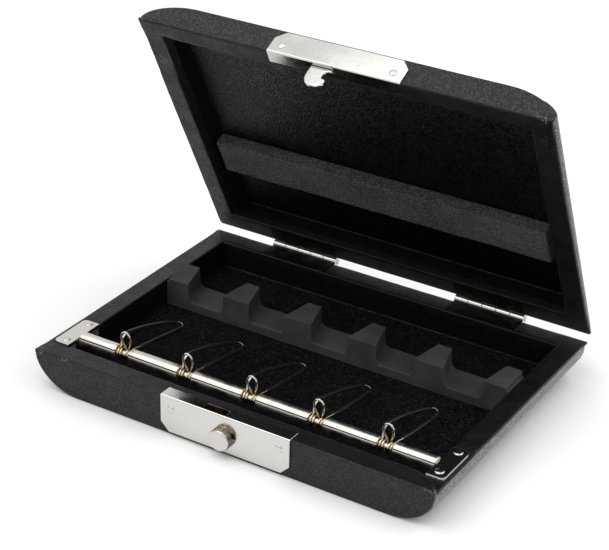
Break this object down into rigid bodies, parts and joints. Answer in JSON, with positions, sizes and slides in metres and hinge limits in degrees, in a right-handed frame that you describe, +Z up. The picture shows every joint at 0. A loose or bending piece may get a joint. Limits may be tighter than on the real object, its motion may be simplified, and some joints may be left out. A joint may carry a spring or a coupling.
{
  "type": "reed case",
  "caption": "Slim leather-covered reed case, open, with a sprung wire clip for each reed on a front rod, a rubber rack, a foam-lined hinged lid and a sliding latch.",
  "frame": {"origin": "middle of the flat underside of the base, on the ground", "axes": "+X to the right seen from the latch side, +Y from the latch to the hinges, +Z up"},
  "size_m": [0.12, 0.097, 0.093],
  "materials": {
    "leather": "black fine-pebbled leather, satin",
    "flock": "black flocked velvet",
    "panel_leather": "black pebbled leather, satin",
    "foam": "charcoal open-cell foam, matt",
    "rack_rubber": "dark grey moulded rubber, matt",
    "nickel": "polished nickel plate",
    "spring_wire": "nickel-plated spring wire",
    "sleeve": "black rubber sleeving, slightly glossy"
  },
  "bodies": {
    "base": {"base_shell": "leather", "base_floor_lining": "flock", "reed_rack": "rack_rubber", "rod_bracket_left": "nickel", "rod_bracket_right": "nickel", "bracket_screw_left_1": "nickel", "bracket_screw_left_2": "nickel", "bracket_screw_right_1": "nickel", "bracket_screw_right_2": "nickel", "rod_core": "nickel", "rod_spacer_1": "nickel", "rod_spacer_2": "nickel", "rod_spacer_3": "nickel", "rod_spacer_4": "nickel", "rod_spacer_5": "nickel", "rod_spacer_6": "nickel", "latch_plate_base": "nickel", "latch_rivet_base_1": "nickel", "latch_rivet_base_2": "nickel", "latch_spring": "spring_wire", "hinge_leaf_base_left": "nickel", "hinge_leaf_base_right": "nickel", "hinge_pin_left": "nickel", "hinge_pin_right": "nickel", "hinge_nail_base_left_1": "nickel", "hinge_nail_base_left_2": "nickel", "hinge_nail_base_right_1": "nickel", "hinge_nail_base_right_2": "nickel"},
    "lid": {"lid_shell": "leather", "lid_ceiling_panel": "panel_leather", "lid_foam_strip": "foam", "latch_plate_lid": "nickel", "latch_rivet_lid_1": "nickel", "latch_rivet_lid_2": "nickel", "latch_hook": "nickel", "hinge_leaf_lid_left": "nickel", "hinge_leaf_lid_right": "nickel", "hinge_nail_lid_left_1": "nickel", "hinge_nail_lid_left_2": "nickel", "hinge_nail_lid_right_1": "nickel", "hinge_nail_lid_right_2": "nickel"},
    "latch": {"latch_slider": "nickel", "latch_knob": "nickel"},
    "clip_1": {"clip_1_wire": "spring_wire", "clip_1_sleeve_left": "sleeve", "clip_1_sleeve_right": "sleeve"},
    "clip_2": {"clip_2_wire": "spring_wire", "clip_2_sleeve_left": "sleeve", "clip_2_sleeve_right": "sleeve"},
    "clip_3": {"clip_3_wire": "spring_wire", "clip_3_sleeve_left": "sleeve", "clip_3_sleeve_right": "sleeve"},
    "clip_4": {"clip_4_wire": "spring_wire", "clip_4_sleeve_left": "sleeve", "clip_4_sleeve_right": "sleeve"},
    "clip_5": {"clip_5_wire": "spring_wire", "clip_5_sleeve_left": "sleeve", "clip_5_sleeve_right": "sleeve"}
  },
  "joints": [
    {"name": "lid_hinge", "type": "hinge", "parent": "base", "child": "lid", "pos_m": [0, 0.0445, 0.01155], "axis": [-1, 0, 0], "range_deg": [-62.9, 52.1]},
    {"name": "clip_1_pivot", "type": "hinge", "parent": "base", "child": "clip_1", "pos_m": [-0.04, -0.0307, 0.0104], "axis": [1, 0, 0], "range_deg": [-8, 70]},
    {"name": "clip_2_pivot", "type": "hinge", "parent": "base", "child": "clip_2", "pos_m": [-0.02, -0.0307, 0.0104], "axis": [1, 0, 0], "range_deg": [-8, 70]},
    {"name": "clip_3_pivot", "type": "hinge", "parent": "base", "child": "clip_3", "pos_m": [0, -0.0307, 0.0104], "axis": [1, 0, 0], "range_deg": [-8, 70]},
    {"name": "clip_4_pivot", "type": "hinge", "parent": "base", "child": "clip_4", "pos_m": [0.02, -0.0307, 0.0104], "axis": [1, 0, 0], "range_deg": [-8, 70]},
    {"name": "clip_5_pivot", "type": "hinge", "parent": "base", "child": "clip_5", "pos_m": [0.04, -0.0307, 0.0104], "axis": [1, 0, 0], "range_deg": [-8, 70]},
    {"name": "latch_slide", "type": "slide", "parent": "base", "child": "latch", "axis": [1, 0, 0], "range_m": [0, 0.0018], "stiffness_N_per_m": 150, "springref_m": -0.002, "deforming": ["latch_spring"]}
  ]
}
